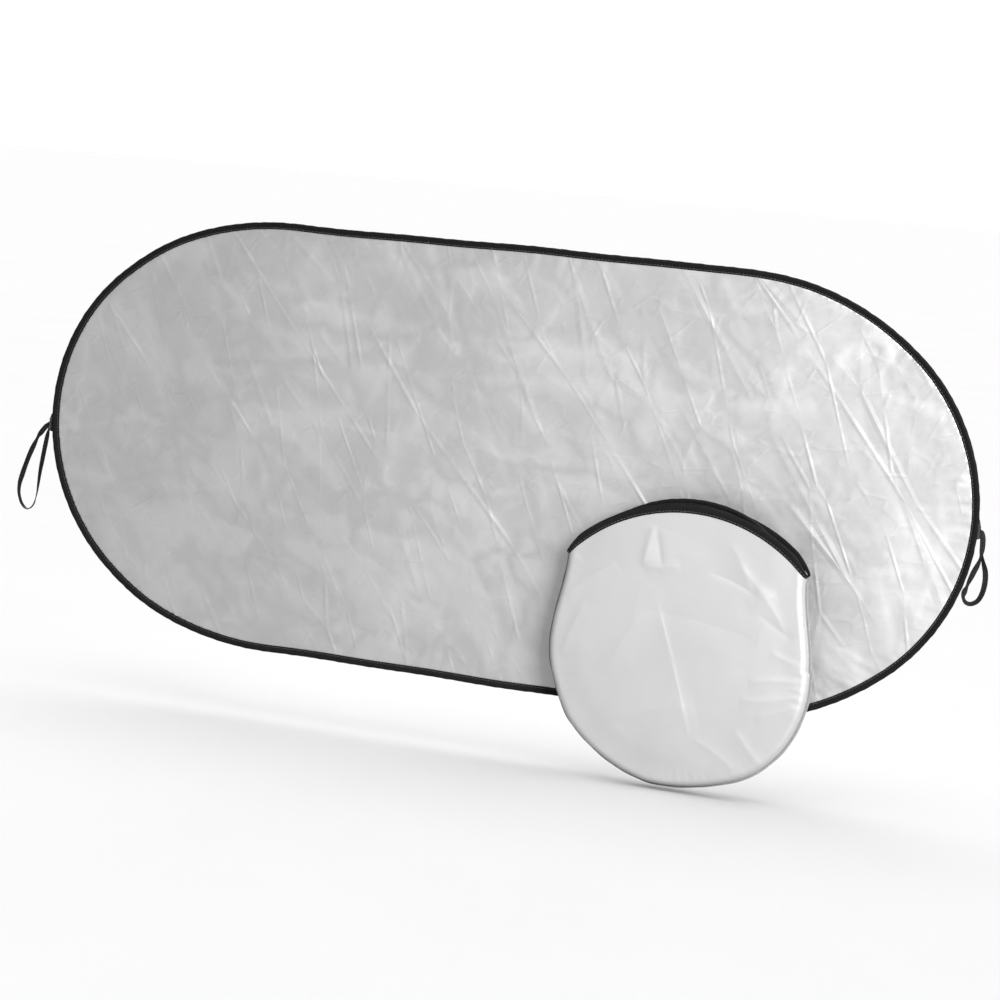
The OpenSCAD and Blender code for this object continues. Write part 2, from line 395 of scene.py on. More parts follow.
def branching_creases(count, low, high, slopes):
    """Chains of short creases, each starting where the last one ends, with side branches."""
    made = []
    for _ in range(count):
        cx, cz = seed.uniform(low[0], high[0]), seed.uniform(low[1], high[1])
        heading = crease_angle()
        width = log_between(2.5 * MM, 6 * MM)
        rise = width * seed.uniform(*slopes) * seed.choice([-1, 1])
        for _ in range(seed.integers(2, 6)):
            half_length = log_between(14 * MM, 60 * MM) / 2
            turn = heading + math.radians(seed.normal(0, 26))
            cx += half_length * math.cos(turn)
            cz += half_length * math.sin(turn)
            ramp = width * seed.uniform(1, 4)
            made.append((cx, cz, turn, half_length * 1.15, width, ramp, rise, 0.0))
            cx += half_length * math.cos(turn)
            cz += half_length * math.sin(turn)
            if seed.random() < 0.45:
                fork = turn + math.radians(seed.choice([-1, 1]) * seed.uniform(25, 60))
                length = half_length * seed.uniform(0.5, 1)
                made.append((
                    cx + length * math.cos(fork), cz + length * math.sin(fork), fork, length,
                    width, ramp, rise * 0.8, 0.0,
                ))
    return made


def waves(arc, lengths, period=PERIMETER):
    """A smooth random wave along a closed edge, from about -1 to 1."""
    total = np.zeros_like(arc)
    for length in lengths:
        turns = max(1, round(period / length))
        total += np.sin(2 * math.pi * turns * arc / period + seed.uniform(0, 2 * math.pi))
    return total / math.sqrt(len(lengths))


# ---------- the open panel ----------

def cross_panel(piece):
    """Bakes the place of a piece that runs the whole length of the panel into its mesh."""
    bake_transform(piece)


def level_folds():
    """Long soft folds that run nearly level across the whole cloth."""
    made = []
    for z in np.linspace(-0.16, 0.17, 6) + seed.normal(0, 0.012, 6):
        cx, half_length = seed.uniform(-0.2, 0.2), seed.uniform(0.25, 0.42)
        width, other = seed.uniform(8, 14) * MM, seed.uniform(18, 34) * MM
        rise = seed.uniform(0.35, 0.6) * MM * seed.choice([-1, 1])
        angle = math.radians(seed.normal(-2, 3))
        made.append((cx, z, angle, half_length, width, other, rise, seed.normal(0, 0.03)))
    return made


def make_reflector_cloth(material):
    columns = round(2 * HALF_LENGTH / CLOTH_STEP) + 1
    rows = round(2 * HALF_HEIGHT / CLOTH_STEP) + 1
    x, z = np.meshgrid(
        np.linspace(-HALF_LENGTH, HALF_LENGTH, columns),
        np.linspace(-HALF_HEIGHT, HALF_HEIGHT, rows),
    )
    x, z = x.ravel(), z.ravel()
    distance, outward = rim_distance(x, z)
    quads = grid_quads(rows, columns)
    quads = quads[(distance[quads] > CLOTH_EDGE - CLOTH_STEP / 2).all(axis=1)]
    used, quads = np.unique(quads, return_inverse=True)
    quads = quads.reshape(-1, 4)
    x, z, distance, outward = x[used], z[used], distance[used], outward[used]
    rim = np.unique(border(quads))
    shift = (distance[rim] - CLOTH_EDGE)[:, None] * outward[rim]
    x[rim] += shift[:, 0]
    z[rim] += shift[:, 1]
    distance[rim] = CLOTH_EDGE
    low, high = (-HALF_LENGTH, -HALF_HEIGHT), (HALF_LENGTH, HALF_HEIGHT)
    creases = (
        random_creases(130, low, high, (0.14, 0.5), (2.6 * MM, 6 * MM), (0.025, 0.065), 4)
        + random_creases(240, low, high, (0.05, 0.16), (2.6 * MM, 7 * MM), (0.025, 0.065), 4)
        + random_creases(320, low, high, (0.015, 0.05), (2.6 * MM, 4 * MM), (0.03, 0.07), 3)
        + branching_creases(170, low, high, (0.035, 0.09))
        + level_folds()
    )
    folds = crease_height(x, z, creases)
    clear = smooth(distance, 7 * MM, 26 * MM)
    angle = np.arctan2(z, x * HALF_HEIGHT / HALF_LENGTH)
    arc = angle / (2 * math.pi) * PERIMETER
    pucker = waves(arc, [0.021, 0.013, 0.034, 0.057]) * (0.6 + 0.4 * waves(arc, [0.2, 0.33]))
    pucker *= 0.42 * MM * np.exp(-np.maximum(distance - HEM, 0) / (15 * MM))
    pucker *= smooth(distance, CLOTH_EDGE, 13 * MM)
    swell = 1.1 * MM * np.sin(19 * x + 6 * z) + 0.9 * MM * np.sin(13 * z - 8 * x + 2)
    height = CREASE_DEPTH * folds * clear + pucker
    height = height + SWELL_DEPTH * swell * smooth(distance, 10 * MM, 90 * MM)
    points = settle(np.stack([x, -height, z], -1))
    wear = np.tile(np.clip(np.abs(folds) / (0.4 * MM), 0, 1), 2)
    piece = make_cloth("reflector_cloth", points, quads[:, ::-1], x, z, wear)
    finish_piece(piece, material)
    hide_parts("reflector_cloth_left", "reflector_cloth_right")
    cross_panel(piece)


def finish_piece(piece, material):
    piece.data.materials.clear()
    piece.data.materials.append(material)


# Half of the folded binding's section, in mm: inwards from the edge, and forward
BINDING_HALF = [
    (-0.05, 1.1), (0.05, 1.9), (0.3, 2.5), (0.8, 2.85), (1.6, 2.98), (2.6, 2.86), (3.6, 2.45),
    (4.6, 2.0), (5.5, 1.66), (6.1, 1.42), (6.5, 1.26), (6.9, 1.36), (7.5, 1.22), (7.95, 0.98),
    (8.1, 0.55),
]


def binding_sections(arc, bulge, scallop):
    """The binding's section at each ring: it pulls in a little at each stitch, and puckers."""
    half = np.array(BINDING_HALF) * MM
    section = both_faces(half)
    sections = np.tile(section, (len(arc), 1, 1))
    inset = section[:, 0]
    stitched = np.exp(-((inset - STITCH_INSET) / (0.8 * MM)) ** 2)
    pull = 0.5 + 0.5 * np.cos(2 * math.pi * arc / STITCH_PITCH)
    side = np.sign(section[:, 1])
    sections[..., 1] -= 0.16 * MM * pull[:, None] * stitched * side
    outer = 1 - smooth(inset, 0.5 * MM, 4 * MM)
    sections[..., 0] += scallop[:, None] * outer
    sections[..., 1] += bulge[:, None] * side * (1 - smooth(inset, 2 * MM, 7 * MM)) * 0.5
    return sections


def make_edge_binding(material):
    arc, centres, outward, forward = along_rim(RIM_STEP)
    scallop = 0.16 * MM * waves(arc, [0.012, 0.019, 0.031])
    scallop = np.clip(scallop, -0.3 * MM, 0.3 * MM)
    bulge = 0.16 * MM * waves(arc, [0.015, 0.024, 0.06])
    sections = binding_sections(arc, bulge, scallop)
    piece = sweep("edge_binding", settle(centres), outward, forward, sections, lengthwise=arc)
    finish_piece(piece, material)
    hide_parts("edge_binding_left", "edge_binding_right")
    cross_panel(piece)


def stitch_shape():
    """Points and quads of one stitch along +X: a short thread whose ends dive into the tape."""
    along = np.array([-1, -0.82, -0.45, 0.45, 0.82, 1]) * STITCH_LENGTH / 2
    size = np.array([0.35, 0.8, 1, 1, 0.8, 0.35]) * STITCH_RADIUS
    lift = np.array([-0.9, -0.35, 0.1, 0.1, -0.35, -0.9]) * STITCH_RADIUS
    turn = full_turn(6)
    points = np.stack([
        np.repeat(along[:, None], 6, 1),
        size[:, None] * np.cos(turn),
        lift[:, None] + size[:, None] * np.sin(turn),
    ], -1).reshape(-1, 3)
    quads = np.concatenate([grid_quads(6, 6, close_columns=True), end_caps(6, 6)])
    return points, quads


def stitch_row(places, along, up):
    """Many stitches, each at a place, along a direction and standing on a face."""
    shape, quads = stitch_shape()
    side = np.cross(up, along)
    axes = np.stack([along, side, up], 1)
    points = np.einsum("pk,nkc->npc", shape, axes) + places[:, None]
    return points.reshape(-1, 3), join_shapes(len(shape), quads, len(places))


def rows_together(rows):
    """Joins the points and quads of several rows into one."""
    counts = np.cumsum([0] + [len(points) for points, _ in rows])
    quads = np.concatenate([quads + first for (_, quads), first in zip(rows, counts)])
    return np.concatenate([points for points, _ in rows]), quads


def ring_stitches(centres, outward, forward, lift):
    """A row of stitches on each face of a bound edge."""
    along = unit(np.roll(centres, -1, 0) - np.roll(centres, 1, 0))
    rows = []
    for side in (1, -1):
        places = centres - outward * STITCH_INSET + forward * side * lift
        rows.append(stitch_row(places, along, forward * side))
    return rows_together(rows)


def make_edge_stitching(material):
    _, centres, outward, forward = along_rim(STITCH_PITCH)
    points, quads = ring_stitches(settle(centres), outward, forward, 1.33 * MM)
    piece = make_piece("edge_stitching", points, quads, points[:, [0, 2]])
    finish_piece(piece, material)
    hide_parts("edge_stitching_left", "edge_stitching_right")
    cross_panel(piece)


def strip_section(depth, width, growth=0.0):
    """A flat strip's section, its corners eased, centred at a depth inside the edge."""
    half_t, half_w = 0.4 * MM + growth, width / 2 + growth
    ease = 0.15 * MM
    corners = [
        (-half_t, half_w - ease), (-half_t + ease, half_w), (half_t - ease, half_w),
        (half_t, half_w - ease), (half_t, ease - half_w), (half_t - ease, -half_w),
        (ease - half_t, -half_w), (-half_t, ease - half_w),
    ]
    return np.array([(depth + u, w) for u, w in corners])


BAND_DEPTH = 1.6 * MM
BAND_WIDTH = 4.0 * MM


def make_spring_band(material):
    arc, centres, outward, forward = along_rim(4 * MM)
    section = strip_section(BAND_DEPTH, BAND_WIDTH)
    piece = sweep("spring_band", settle(centres), outward, forward, section, lengthwise=arc)
    finish_piece(piece, material)
    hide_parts("spring_band_left", "spring_band_right")
    cross_panel(piece)


def make_band_sleeve(material):
    low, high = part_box("band_sleeve")
    count = 21
    x = np.linspace(low[0], high[0], count)
    centres = np.stack([x, np.zeros(count), np.full(count, -HALF_HEIGHT)], -1)
    outward = np.tile([0.0, 0.0, -1.0], (count, 1))
    forward = forward_at(count)
    crimp = 0.05 * MM * (np.abs(np.linspace(-4, 4, count)) % 1 < 0.2)
    section = strip_section(BAND_DEPTH, BAND_WIDTH, 0.22 * MM)
    sections = np.tile(section, (count, 1, 1))
    sections[..., 0] += crimp[:, None]
    piece = sweep("band_sleeve_visual", settle(centres), outward, forward, sections, closed=False)
    finish_piece(piece, material)
    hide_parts("band_sleeve")
    cross_panel(piece)


# ---------- the hanging loops ----------

def smooth_route(knots, count):
    """Evenly spaced points on a Catmull-Rom curve through the knots."""
    knots = np.array(knots, float)
    padded = np.concatenate([[2 * knots[0] - knots[1]], knots, [2 * knots[-1] - knots[-2]]])
    pieces = []
    for k in range(1, len(padded) - 2):
        a, b, c, d = padded[k - 1:k + 3]
        t = np.linspace(0, 1, 24, endpoint=False)[:, None]
        pieces.append(0.5 * (
            2 * b + (c - a) * t + (2 * a - 5 * b + 4 * c - d) * t ** 2
            + (3 * b - a - 3 * c + d) * t ** 3
        ))
    fine = np.concatenate(pieces + [knots[-1:]])
    length = path_length(fine)
    even = np.linspace(0, length[-1], count)
    return np.stack([np.interp(even, length, fine[:, k]) for k in range(fine.shape[1])], -1)


def make_ribbon(name, pivot, knots, material, body, node):
    """A flat elastic strap. Each knot is an offset from the pivot in mm, and how far its width
    has turned from lying across the view, in degrees."""
    route = smooth_route(knots, 150)
    centres = np.array(pivot) + route[:, :3] * MM
    turn = np.radians(route[:, 3])
    along = unit(np.gradient(centres, axis=0))
    side = unit(np.cross(along, [0.0, -1.0, 0.0]))
    face = np.cross(side, along)
    width_way = side * np.cos(turn)[:, None] + face * np.sin(turn)[:, None]
    face_way = np.cross(along, width_way)
    half_w, half_t = ELASTIC_WIDTH / 2, ELASTIC_THICKNESS / 2
    around = full_turn(20)
    wave = blunt(np.cos(around), 0.55)
    rise = blunt(np.sin(around), 0.55)
    section = np.stack([half_w * wave, half_t * rise], -1)
    piece = sweep(name, centres, width_way, face_way, section, closed=False)
    finish_piece(piece, material)
    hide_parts(node)
    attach(piece, body)


LEFT_LOOP_KNOTS = [
    (1.5, -0.1, 5, 88), (0.3, -0.5, 2.5, 60), (-3.2, -1.1, -1.5, 18), (-8, -1.4, -8, 30),
    (-12.2, -1.8, -15, 82), (-16.8, -1.7, -25, 48), (-21.6, -1.3, -36, 8), (-26, -0.9, -48, 0),
    (-30.2, -0.4, -61, 26), (-33.4, 0.0, -73, 66), (-33.8, 0.4, -85, 86), (-29.5, 0.7, -97, 88),
    (-21.5, 0.8, -103, 88), (-14, 0.8, -97, 80), (-10.4, 0.7, -84, 58), (-8.8, 0.6, -70, 38),
    (-7.4, 0.6, -55, 22), (-5.6, 0.7, -42, 8), (-3.6, 0.9, -28, 4), (-1.4, 1.0, -14, 10),
    (0.6, 0.5, -4, 48), (1.0, 0.1, 3, 88),
]
RIGHT_LOOP_KNOTS = [
    (-1.6, -0.9, 5, 88), (-0.2, -1.2, 2, 45), (1.4, -1.5, -5, 8),
    (1.8, -1.6, -15, 30), (1.2, -1.6, -24, 70), (-1.2, -1.5, -32.7, 40),
    (-4.4, -1.2, -40.8, 12), (-7.6, -0.8, -49.8, 42), (-10, -0.3, -57, 66),
    (-12, 0.2, -63.3, 22), (-12.6, 0.5, -69.6, 66), (-9.6, 0.8, -74.6, 58),
    (-3.6, 0.8, -75.5, 46), (3, 0.8, -71, 34), (7, 0.8, -61.5, 18),
    (8.4, 0.8, -49.8, 4), (7.4, 1, -39, 8), (4.4, 1.2, -30, 42),
    (2, 1.3, -21, 66), (1.2, 1.3, -10, 60), (0.2, 1.2, -2, 74),
    (-1.4, 0.9, 3, 88),
]


def tack_width(height):
    """Share of the tack's full width at a height from -1 to 1: it narrows towards its top."""
    return 1 - TACK_TAPER * smooth(height, -0.1, 1)


def make_tack(name, node, body, material, thread):
    """The folded ends of a loop, with a dense zigzag of stitches on its front."""
    low, high = (np.array(corner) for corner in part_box(node))
    middle, half = (low + high) / 2, (high - low) / 2
    outer = np.sign(middle[0])
    rings, around = 26, 24
    v = np.linspace(-1, 1, rings)
    turn = full_turn(around)
    ease = (1 - np.abs(v) ** 9) ** (1 / 3)
    ease = np.maximum(ease, 0.25)
    wide = blunt(np.cos(turn), 0.45)
    deep = blunt(np.sin(turn), 0.45)
    press = 1 - 0.1 * (np.abs(np.sin(v * 11)) > 0.85)
    inner = middle[0] - outer * half[0]
    points = np.stack([
        inner + outer * half[0] * (ease * press * tack_width(v))[:, None] * (1 + wide),
        middle[1] + half[1] * 1.04 * ease[:, None] * deep,
        np.repeat((middle[2] + half[2] * v)[:, None], around, 1),
    ], -1).reshape(-1, 3)
    quads = grid_quads(rings, around, close_columns=True)
    quads = np.concatenate([quads, end_caps(rings, around)])
    piece = make_piece(name, points, quads, points[:, [1, 2]])
    finish_piece(piece, material)
    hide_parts(node)
    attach(piece, body)
    count = TACK_STITCHES
    z = np.linspace(low[2] + 2 * MM, high[2] - 5 * MM, count)
    share = tack_width((z - middle[2]) / half[2])
    places = np.stack([
        inner + outer * half[0] * share, np.full(count, low[1] - 0.05 * MM), z,
    ], -1)
    slant = np.where(np.arange(count) % 2, 1, -1)
    along = np.stack([np.ones(count), np.zeros(count), 0.32 * slant], -1)
    along /= np.linalg.norm(along, axis=1, keepdims=True)
    up = forward_at(count)
    stitch_points, stitch_quads = stitch_row(places, along, up)
    sewn = make_piece(name + "_thread", stitch_points, stitch_quads, stitch_points[:, [1, 2]])
    finish_piece(sewn, thread)
    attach(sewn, body)


# ---------- the pouch ----------

MOUTH_MIDDLE = MOUTH_TOP - MOUTH_BINDING
MOUTH_SAG = MOUTH_MIDDLE - MOUTH_CORNER
MOUTH_ARC = (CORNER_HALF_WIDTH ** 2 + MOUTH_SAG ** 2) / (2 * MOUTH_SAG)
ROLL_WIDTH = 9 * MM
PANEL_STEPS = 100
PANEL_TURNS = 340

# Folds of the pouch's front, in mm from its centre: middle, direction in degrees, half
# length, the flank on either side, height and bow
POUCH_FOLDS = [
    (-42, 118, 80, 24, 4, 16, 1.5, 0.05), (-29, 119, 103, 22, 12, 3, -1.0, 0.0),
    (-2, -14, -71, 86, 3, 14, 0.55, 0.02), (-24, 96, 12, 20, 8, 5, 0.6, 0.1),
    (62, 108, -62, 30, 6, 14, 0.8, 0.1), (80, 96, -40, 28, 7, 12, 0.6, -0.1),
    (56, 88, -20, 30, 10, 4, -0.8, 0.1), (98, 66, -52, 32, 6, 12, 0.8, 0.1),
    (106, 48, -30, 24, 6, 4, -0.6, 0.0), (88, 76, 30, 18, 4, 7, 0.6, 0.0),
    (112, -12, 6, 30, 3, 8, 0.9, 0.08), (108, -30, 12, 34, 4, 10, 1.0, -0.06),
    (116, -46, 24, 24, 3, 6, 0.7, 0.05), (122, 14, -18, 20, 3, 8, 0.6, 0.0),
    (-104, 72, 40, 36, 6, 16, 1.0, 0.1), (-118, 16, 70, 34, 5, 12, 0.8, 0.08),
    (-30, -70, 18, 60, 14, 22, 0.9, 0.1), (52, -102, -30, 34, 6, 12, 0.6, 0.1),
    (92, -88, -46, 28, 4, 10, 0.7, -0.1), (-76, -104, 42, 30, 6, 10, 0.5, 0.1),
    (20, 40, -8, 70, 20, 26, -1.1, 0.05), (-50, 20, 62, 60, 24, 16, 0.9, 0.1),
]


def pouch_half_width(z):
    """Half the pouch's width at a height above its centre: it draws in to the corners."""
    return POUCH_RADIUS - (POUCH_RADIUS - CORNER_HALF_WIDTH) * smooth(z, 0.0, MOUTH_CORNER)


def mouth_height(x, raised=0.0):
    """Height of the mouth's arc above the pouch's centre."""
    reach = MOUTH_ARC + raised
    arc = MOUTH_MIDDLE - MOUTH_ARC + np.sqrt(np.maximum(reach ** 2 - x ** 2, 0))
    return arc + MOUTH_TILT * x


def pouch_outline(angle, raised):
    """Distance from the pouch's centre to its edge, in each direction from +X upwards. The
    cloth hangs a little fuller on the lower right."""
    cos, sin = np.cos(angle), np.sin(angle)
    from_full = (angle + math.radians(36) + math.pi) % (2 * math.pi) - math.pi
    facets = np.abs(np.sin(4 * angle + 0.6)) * smooth(-sin, 0.1, 0.4)
    reach = POUCH_RADIUS + 9 * MM * np.exp(-(from_full / 0.5) ** 2) - 1.8 * MM * facets
    low, high = np.zeros_like(angle), np.full_like(angle, 0.25)
    for _ in range(40):
        middle = (low + high) / 2
        x, z = middle * cos, middle * sin
        inside = (np.abs(x) < pouch_half_width(z)) & (z < mouth_height(x, raised))
        low, high = np.where(inside, middle, low), np.where(inside, high, middle)
    return np.where(sin > 0, low, reach)


def edge_inset(x, z):
    """Distance from a point of the pouch inwards to its seam."""
    side = pouch_half_width(z) - np.abs(x)
    below = pouch_outline(np.arctan2(z, x), 0.0) - np.hypot(x, z)
    return np.where(z > 0, side, below)


def pouch_depth(x, z):
    """How far the filled pouch's cloth stands from its middle plane."""
    roll = np.clip(1 - edge_inset(x, z) / ROLL_WIDTH, 0, 1)
    return POUCH_FULL * (1 - roll ** 2.3) ** (1 / 2.2)


def pouch_surface(x, z, side):
    """Depth of one face of the pouch, with its folds. The side is 1 in front, -1 behind."""
    depth = pouch_depth(x, z)
    full = np.clip(depth / POUCH_FULL, 0, 1)
    folds = [
        (cx * MM * side, cz * MM, math.radians(a) * side, h * MM, w * MM, v * MM, r * MM, b)
        for cx, cz, a, h, w, v, r, b in POUCH_FOLDS
    ]
    height = crease_height(x, z, folds)
    crown = 1.6 * MM * np.clip(1 - (np.hypot(x, z) / 0.13) ** 2, 0, 1)
    crown += 0.7 * MM * np.sin(31 * x + 9 * z) * np.cos(27 * z - 5 * x)
    room = smooth(edge_inset(x, z), 12 * MM, 40 * MM)
    lift = 2.6 * MM * smooth(z, 0.05, 0.16) * np.clip(1 - (x / 0.12) ** 2, 0, 1)
    return depth + (height * full + crown * room) + lift


def polar_grid(raised):
    """Points of a face in rings from its centre to its edge, with quads between them."""
    angle = full_turn(PANEL_TURNS)
    reach = pouch_outline(angle, raised)
    rings = (np.arange(1, PANEL_STEPS + 1) / PANEL_STEPS) ** 0.8
    x = rings[:, None] * (reach * np.cos(angle))
    z = rings[:, None] * (reach * np.sin(angle))
    return x.ravel(), z.ravel(), grid_quads(PANEL_STEPS, PANEL_TURNS, close_columns=True)


def centre_fill(count):
    """Quads that close the innermost ring of a polar grid."""
    half = count // 2
    return np.array([(count - 1 - k, count - 2 - k, k + 1, k) for k in range(half - 1)])


def make_pouch_face(name, node, side, material):
    x, z, quads = polar_grid(1.2 * MM)
    quads = np.concatenate([quads, centre_fill(PANEL_TURNS)])
    extra = random_creases(70, (-0.14, -0.14), (0.14, 0.14), (0.02, 0.09),
                           (3 * MM, 9 * MM), (0.006, 0.022), 3)
    depth = pouch_surface(x, z, side)
    full = np.clip(pouch_depth(x, z) / POUCH_FULL, 0, 1)
    depth += crease_height(x, z, extra) * full
    turn = np.arctan2(z, x)
    gathers = np.sin(turn * 61) * np.sin(turn * 23 + 1) + 0.6 * np.sin(turn * 94 + side)
    near_seam = np.exp(-((edge_inset(x, z) - 10 * MM) / (10 * MM)) ** 2)
    depth += 0.16 * MM * gathers * near_seam * (0.6 + 0.4 * np.sin(turn * 5 + 2)) * full
    y = -side * np.maximum(depth, 0.25 * MM)
    points = POUCH_CENTRE + np.stack([x, y, z], -1)
    order = quads[:, ::-1] if side > 0 else quads
    piece = make_cloth(name, points, order, x, z)
    finish_piece(piece, material)
    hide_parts(node)
    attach(piece, "pouch")


def make_pouch_seam(material):
    """The turned seam that stands out round the sides and the bottom."""
    count = 420
    corner = math.atan2(MOUTH_CORNER, CORNER_HALF_WIDTH)
    angle = np.linspace(math.pi - corner, 2 * math.pi + corner, count)
    reach = pouch_outline(angle, 0.0) - 0.4 * MM
    flat = np.stack([reach * np.cos(angle), np.zeros(count), reach * np.sin(angle)], -1)
    along = unit(np.gradient(flat, axis=0))
    outward = np.cross(along, [0.0, 1.0, 0.0])
    outward *= np.sign((outward * flat).sum(axis=1))[:, None]
    forward = forward_at(count)
    half = [(0.6, 0.75), (-0.4, 0.72), (-1.4, 0.62), (-2.1, 0.55), (-2.5, 0.25)]
    half = np.array(half) * MM
    section = both_faces(half)
    sections = np.tile(section, (count, 1, 1))
    arc = path_length(flat)
    pull = 0.3 * MM * np.sin(arc / (7 * MM)) * np.sin(arc / (17 * MM))
    sections[..., 0] += pull[:, None] * (section[:, 0] < -1 * MM)
    piece = sweep("pouch_seam_visual", POUCH_CENTRE + flat, outward, forward, sections,
                  closed=False, lengthwise=arc)
    finish_piece(piece, material)
    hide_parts("pouch_seam")
    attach(piece, "pouch")


def mouth_edge(side):
    """Places along one edge of the mouth, its upward and outward directions, and its arc."""
    count = 200
    x = np.linspace(-1, 1, count) * (CORNER_HALF_WIDTH - 0.3 * MM)
    z = mouth_height(x)
    depth = pouch_surface(x, z, side)
    points = POUCH_CENTRE + np.stack([x, -side * np.maximum(depth, 0.6 * MM), z], -1)
    along = unit(np.gradient(points, axis=0))
    forward = np.tile([0.0, -float(side), 0.0], (count, 1))
    upward = np.cross(along, forward)
    upward *= np.sign(upward[:, 2])[:, None]
    upward /= np.linalg.norm(upward, axis=1, keepdims=True)
    arc = path_length(points)
    return points, upward, forward, arc


def make_mouth_binding(name, node, side, material):
    points, upward, forward, arc = mouth_edge(side)
    half = np.array([
        (0.2, 0.55), (-0.1, 0.95), (-1.2, 0.82), (-1.8, 0.7), (-2.4, 0.86), (-4.5, 1.0),
        (-6.8, 1.15), (-8.2, 1.05), (-8.9, 0.6),
    ]) * MM
    section = both_faces(half)
    sections = np.tile(section, (len(points), 1, 1))
    ripple = 0.35 * MM * np.sin(arc / (9 * MM)) * np.sin(arc / (31 * MM) + side)
    sections[..., 1] += ripple[:, None] * smooth(-section[:, 0], 1 * MM, 8 * MM)
    taper = 0.45 + 0.55 * smooth(np.minimum(arc, arc[-1] - arc), 0, 34 * MM)
    sections[..., 0] *= taper[:, None]
    piece = sweep(name, points, upward, forward, sections, closed=False, lengthwise=arc)
    finish_piece(piece, material)
    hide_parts(node)
    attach(piece, "pouch")


def make_mouth_stitching(name, node, side, material):
    points, upward, forward, arc = mouth_edge(side)
    count = int(arc[-1] / STITCH_PITCH)
    even = (np.arange(count) + 0.5) * STITCH_PITCH
    at = [np.interp(even, arc, points[:, k]) for k in range(3)]
    up = [np.interp(even, arc, upward[:, k]) for k in range(3)]
    places, upward = np.stack(at, -1), np.stack(up, -1)
    forward = forward[:count]
    along = np.cross(upward, forward)
    places = places + upward * 1.8 * MM + forward * 0.85 * MM
    stitch_points, quads = stitch_row(places, along, forward)
    piece = make_piece(name, stitch_points, quads, stitch_points[:, [0, 2]])
    finish_piece(piece, material)
    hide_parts(node)
    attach(piece, "pouch")


# ---------- the folded reflector ----------

LAYERS = ["front", "middle", "back"]


def fold_ring(layer, step):
    """Centres and directions round one loop of the fold, which is a little out of round."""
    low, high = (np.array(corner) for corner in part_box("folded_binding_" + LAYERS[layer]))
    middle, radius = (low + high) / 2, (high[0] - low[0]) / 2
    count = round(2 * math.pi * radius / step)
    angle = (np.arange(count) + 0.5) / count * 2 * math.pi
    bump = np.exp(-((angle - math.radians(60)) / 0.4) ** 2)
    reach = radius - 0.8 * MM + (0.8 + 0.9 * layer) * MM * bump
    lean = 0.35 * MM * np.sin(2 * angle + layer * 2.1)
    outward = np.stack([np.cos(angle), np.zeros(count), np.sin(angle)], -1)
    centres = middle + outward * reach[:, None]
    centres[:, 1] += lean
    forward = forward_at(count)
    return angle * radius, centres, outward, forward, middle, radius


def make_folded_layer(layer, materials):
    arc, centres, outward, forward, middle, radius = fold_ring(layer, 2 * MM)
    name = LAYERS[layer]
    period = 2 * math.pi * radius
    scallop = np.clip(0.12 * MM * waves(arc, [0.012, 0.021], period), -0.3 * MM, 0.3 * MM)
    sections = binding_sections(arc, 0 * arc, scallop)
    sections[..., 1] *= 0.92
    binding = sweep("folded_binding_%s_visual" % name, centres, outward, forward, sections,
                    lengthwise=arc)
    finish_piece(binding, materials["binding"])
    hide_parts("folded_binding_" + name)
    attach(binding, "folded_reflector")

    _, ring, out, ahead, _, _ = fold_ring(layer, STITCH_PITCH)
    points, quads = ring_stitches(ring, out, ahead, 1.2 * MM)
    stitches = make_piece("folded_stitching_" + name, points, quads, points[:, [0, 2]])
    finish_piece(stitches, materials["thread"])
    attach(stitches, "folded_reflector")

    steps, turns = 60, 300
    angle = full_turn(turns)
    share = (np.arange(1, steps + 1) / steps) ** 0.75
    reach = radius - 6.2 * MM
    x = (share[:, None] * reach * np.cos(angle)).ravel()
    z = (share[:, None] * reach * np.sin(angle)).ravel()
    quads = np.concatenate([grid_quads(steps, turns, close_columns=True), centre_fill(turns)])
    box = (-radius, -radius), (radius, radius)
    creases = random_creases(70, *box, (0.05, 0.24), (5 * MM, 12 * MM), (0.06, 0.16), 2)
    creases += random_creases(90, *box, (0.02, 0.08), (3 * MM, 6 * MM), (0.05, 0.14), 2)
    crumple = np.clip(crease_height(x, z, creases), -2.2 * MM, 2.2 * MM)
    swirl = 1.2 * MM * np.sin(5 * np.arctan2(z, x) + np.hypot(x, z) * 60 + layer)
    inset = reach - np.hypot(x, z)
    y = -(crumple + swirl * smooth(np.hypot(x, z), 0.01, 0.06)) * smooth(inset, 1 * MM, 22 * MM)
    cloth_points = middle + np.stack([x, y, z], -1)
    cloth = make_cloth("folded_cloth_%s_visual" % name, cloth_points, quads[:, ::-1], x, z)
    finish_piece(cloth, materials["silver_cloth"])
    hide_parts("folded_cloth_" + name)
    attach(cloth, "folded_reflector")


# ---------- materials ----------

def grey(level):
    return (level, level, level)


